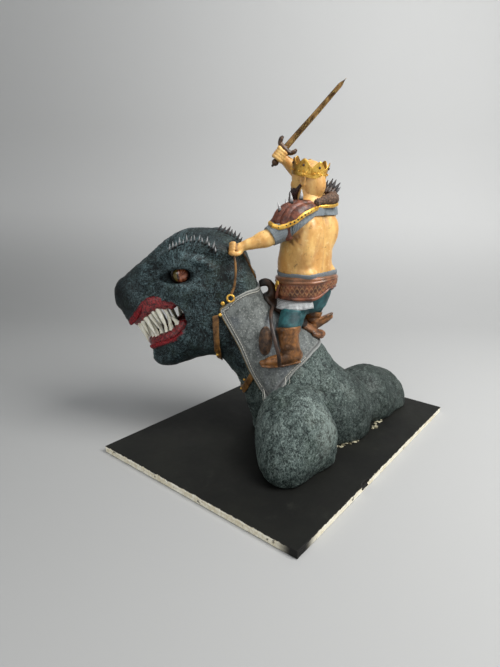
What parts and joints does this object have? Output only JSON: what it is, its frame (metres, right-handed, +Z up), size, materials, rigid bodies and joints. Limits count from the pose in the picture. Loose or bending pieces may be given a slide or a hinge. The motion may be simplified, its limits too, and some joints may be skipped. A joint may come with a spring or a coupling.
{
  "type": "sand dragon sculpture",
  "caption": "Table sculpture of a rearing worm-like dragon with bared teeth, ridden by a crowned warrior with a raised sword, on a flat board that stands on its underside.",
  "frame": {"origin": "middle of the base board's underside", "axes": "+Z up, +X along the board's long side towards the dragon's tail end, +Y towards the side that the head overhangs"},
  "size_m": [0.42, 0.3499, 0.4687],
  "materials": {
    "painted_board": "matt black paint over a pale plywood edge",
    "dragon_skin": "painted modelling clay, dark teal dry-brushed with grey green",
    "gum_and_teeth": "deep red painted clay gum with ivory teeth",
    "eye": "glossy amber brown with a dark slit",
    "cloth": "mottled grey sheet with a stitched double border",
    "strap_leather": "ochre brown strap",
    "dark_leather": "dark brown",
    "figure_skin": "golden painted skin, teal trousers and a dark beard",
    "red_leather": "ridged red brown",
    "boot_leather": "tan brown",
    "gold": "antiqued gold paint",
    "blade": "bronze coloured paint",
    "mail": "grey fine mesh"
  },
  "bodies": {
    "root": {"base_board": "painted_board", "dragon": "dragon_skin", "upper_gum_and_teeth": "gum_and_teeth", "lower_gum_and_teeth": "gum_and_teeth", "left_eye": "eye", "right_eye": "eye", "saddle_cloth": "cloth", "throat_strap": "strap_leather", "girth_strap": "strap_leather", "rider": "figure_skin", "sword": "blade", "crown": "gold", "belt": "red_leather", "mail_skirt": "mail", "shoulder_guard": "red_leather", "fur_collar": "red_leather", "mail_yoke": "mail", "mail_sleeve": "mail", "left_boot": "boot_leather", "right_boot": "boot_leather", "saddle": "dark_leather", "left_pouch": "dark_leather", "right_pouch": "dark_leather", "near_rein": "strap_leather", "far_rein": "strap_leather", "bridle_ring": "gold", "stirrup_leather": "dark_leather"}
  },
  "joints": []
}
